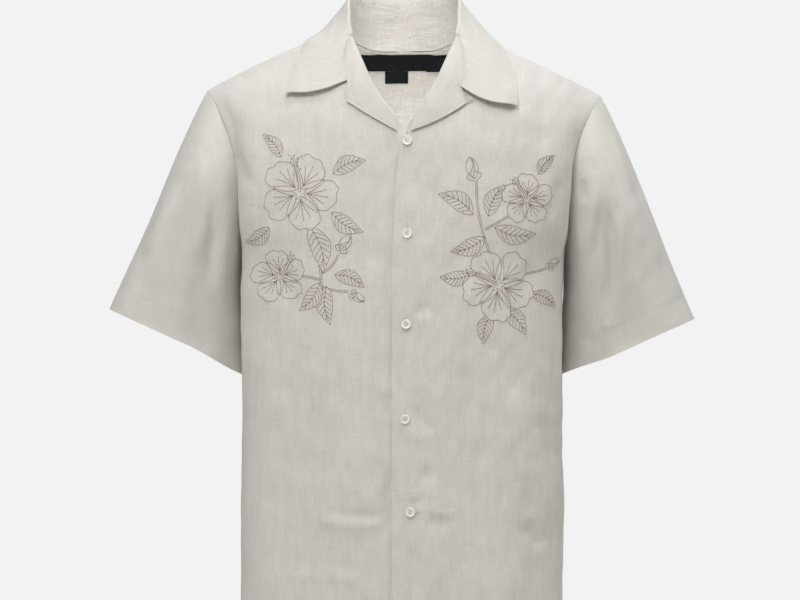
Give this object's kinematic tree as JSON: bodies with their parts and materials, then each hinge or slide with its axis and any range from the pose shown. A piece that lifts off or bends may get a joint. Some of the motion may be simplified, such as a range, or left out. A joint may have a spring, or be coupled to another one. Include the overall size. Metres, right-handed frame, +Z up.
{
  "type": "short-sleeved camp-collar shirt",
  "caption": "Short-sleeved linen shirt with an open camp collar, buttoned front and straight hem, filled out as if worn.",
  "frame": {"origin": "middle of the neck opening, level with the back of the neckline", "axes": "+Z up, -Y towards the front of the wearer, +X towards the wearer's left"},
  "size_m": [0.703, 0.252, 0.8054],
  "materials": {
    "linen": "plain-woven natural linen with thick and thin slubs, matte",
    "label": "close black satin weave, slightly shiny",
    "thread": "twisted off-white thread",
    "button": "pearly shell look, glossy, off-white"
  },
  "bodies": {
    "root": {"front_left": "linen", "front_right": "linen", "back": "linen", "sleeve_left": "linen", "sleeve_right": "linen", "lapel_left": "linen", "lapel_right": "linen", "collar": "linen", "neck_label": "label", "label_tab": "label", "care_label": "label", "loop": "thread", "button_1": "button", "button_2": "button", "button_3": "button", "button_4": "button", "button_5": "button"}
  },
  "joints": []
}
